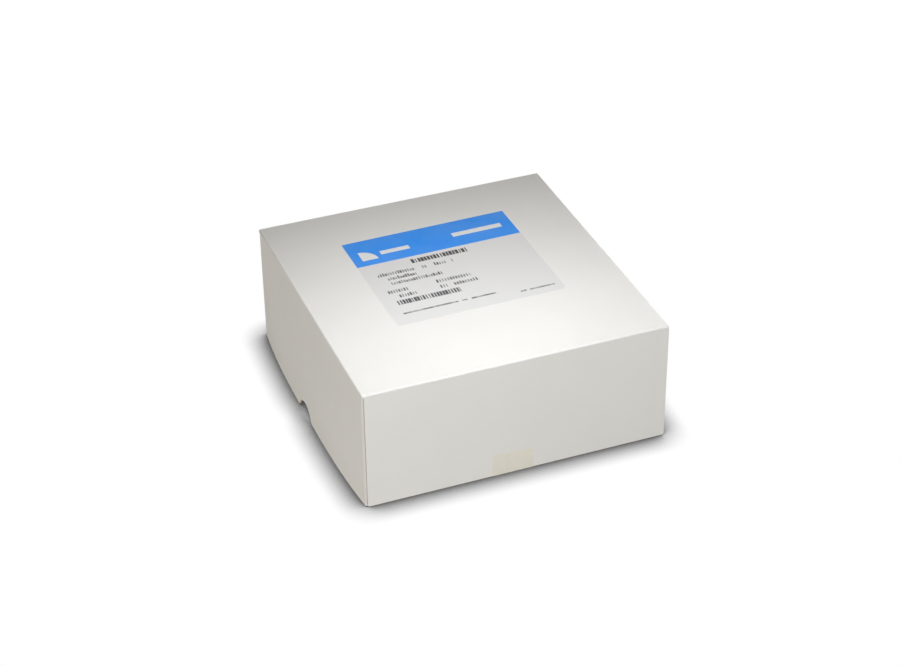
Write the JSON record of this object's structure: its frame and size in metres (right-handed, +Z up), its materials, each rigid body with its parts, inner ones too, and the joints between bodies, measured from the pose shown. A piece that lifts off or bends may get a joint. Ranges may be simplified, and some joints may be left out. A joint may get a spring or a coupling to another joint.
{
  "type": "lidded box of folded filter papers",
  "caption": "Square cardboard box with a deep lift-off lid and a label, holding stacks of filter papers folded into quadrants.",
  "frame": {"origin": "middle of the closed box's footprint, on the surface it stands on", "axes": "+Z up, the way the lid lifts off; +Y from the front wall with the seal tape to the back; +X to the right, so the thumb notches are in the -X and +X walls"},
  "size_m": [0.1916, 0.1899, 0.0761],
  "materials": {
    "lined_board": "matt white coated paper lining on grey board",
    "label_paper": "smooth, with a printed blue band",
    "clear_tape": "clear tape, slightly yellowed",
    "filter_paper": "soft unglazed cotton paper"
  },
  "bodies": {
    "base": {"base_tray": "lined_board", "corner_stack_front_left": "filter_paper", "corner_stack_front_right": "filter_paper", "corner_stack_back_left": "filter_paper", "corner_stack_back_right": "filter_paper", "middle_stack_front_left": "filter_paper", "middle_stack_front_right": "filter_paper", "middle_stack_back_left": "filter_paper", "middle_stack_back_right": "filter_paper"},
    "lid": {"lid": "lined_board", "label": "label_paper", "seal_tape": "clear_tape"}
  },
  "joints": [
    {"name": "lid_lift", "type": "slide", "parent": "base", "child": "lid", "axis": [0, 0, 1], "range_m": [0, 0.1]}
  ]
}
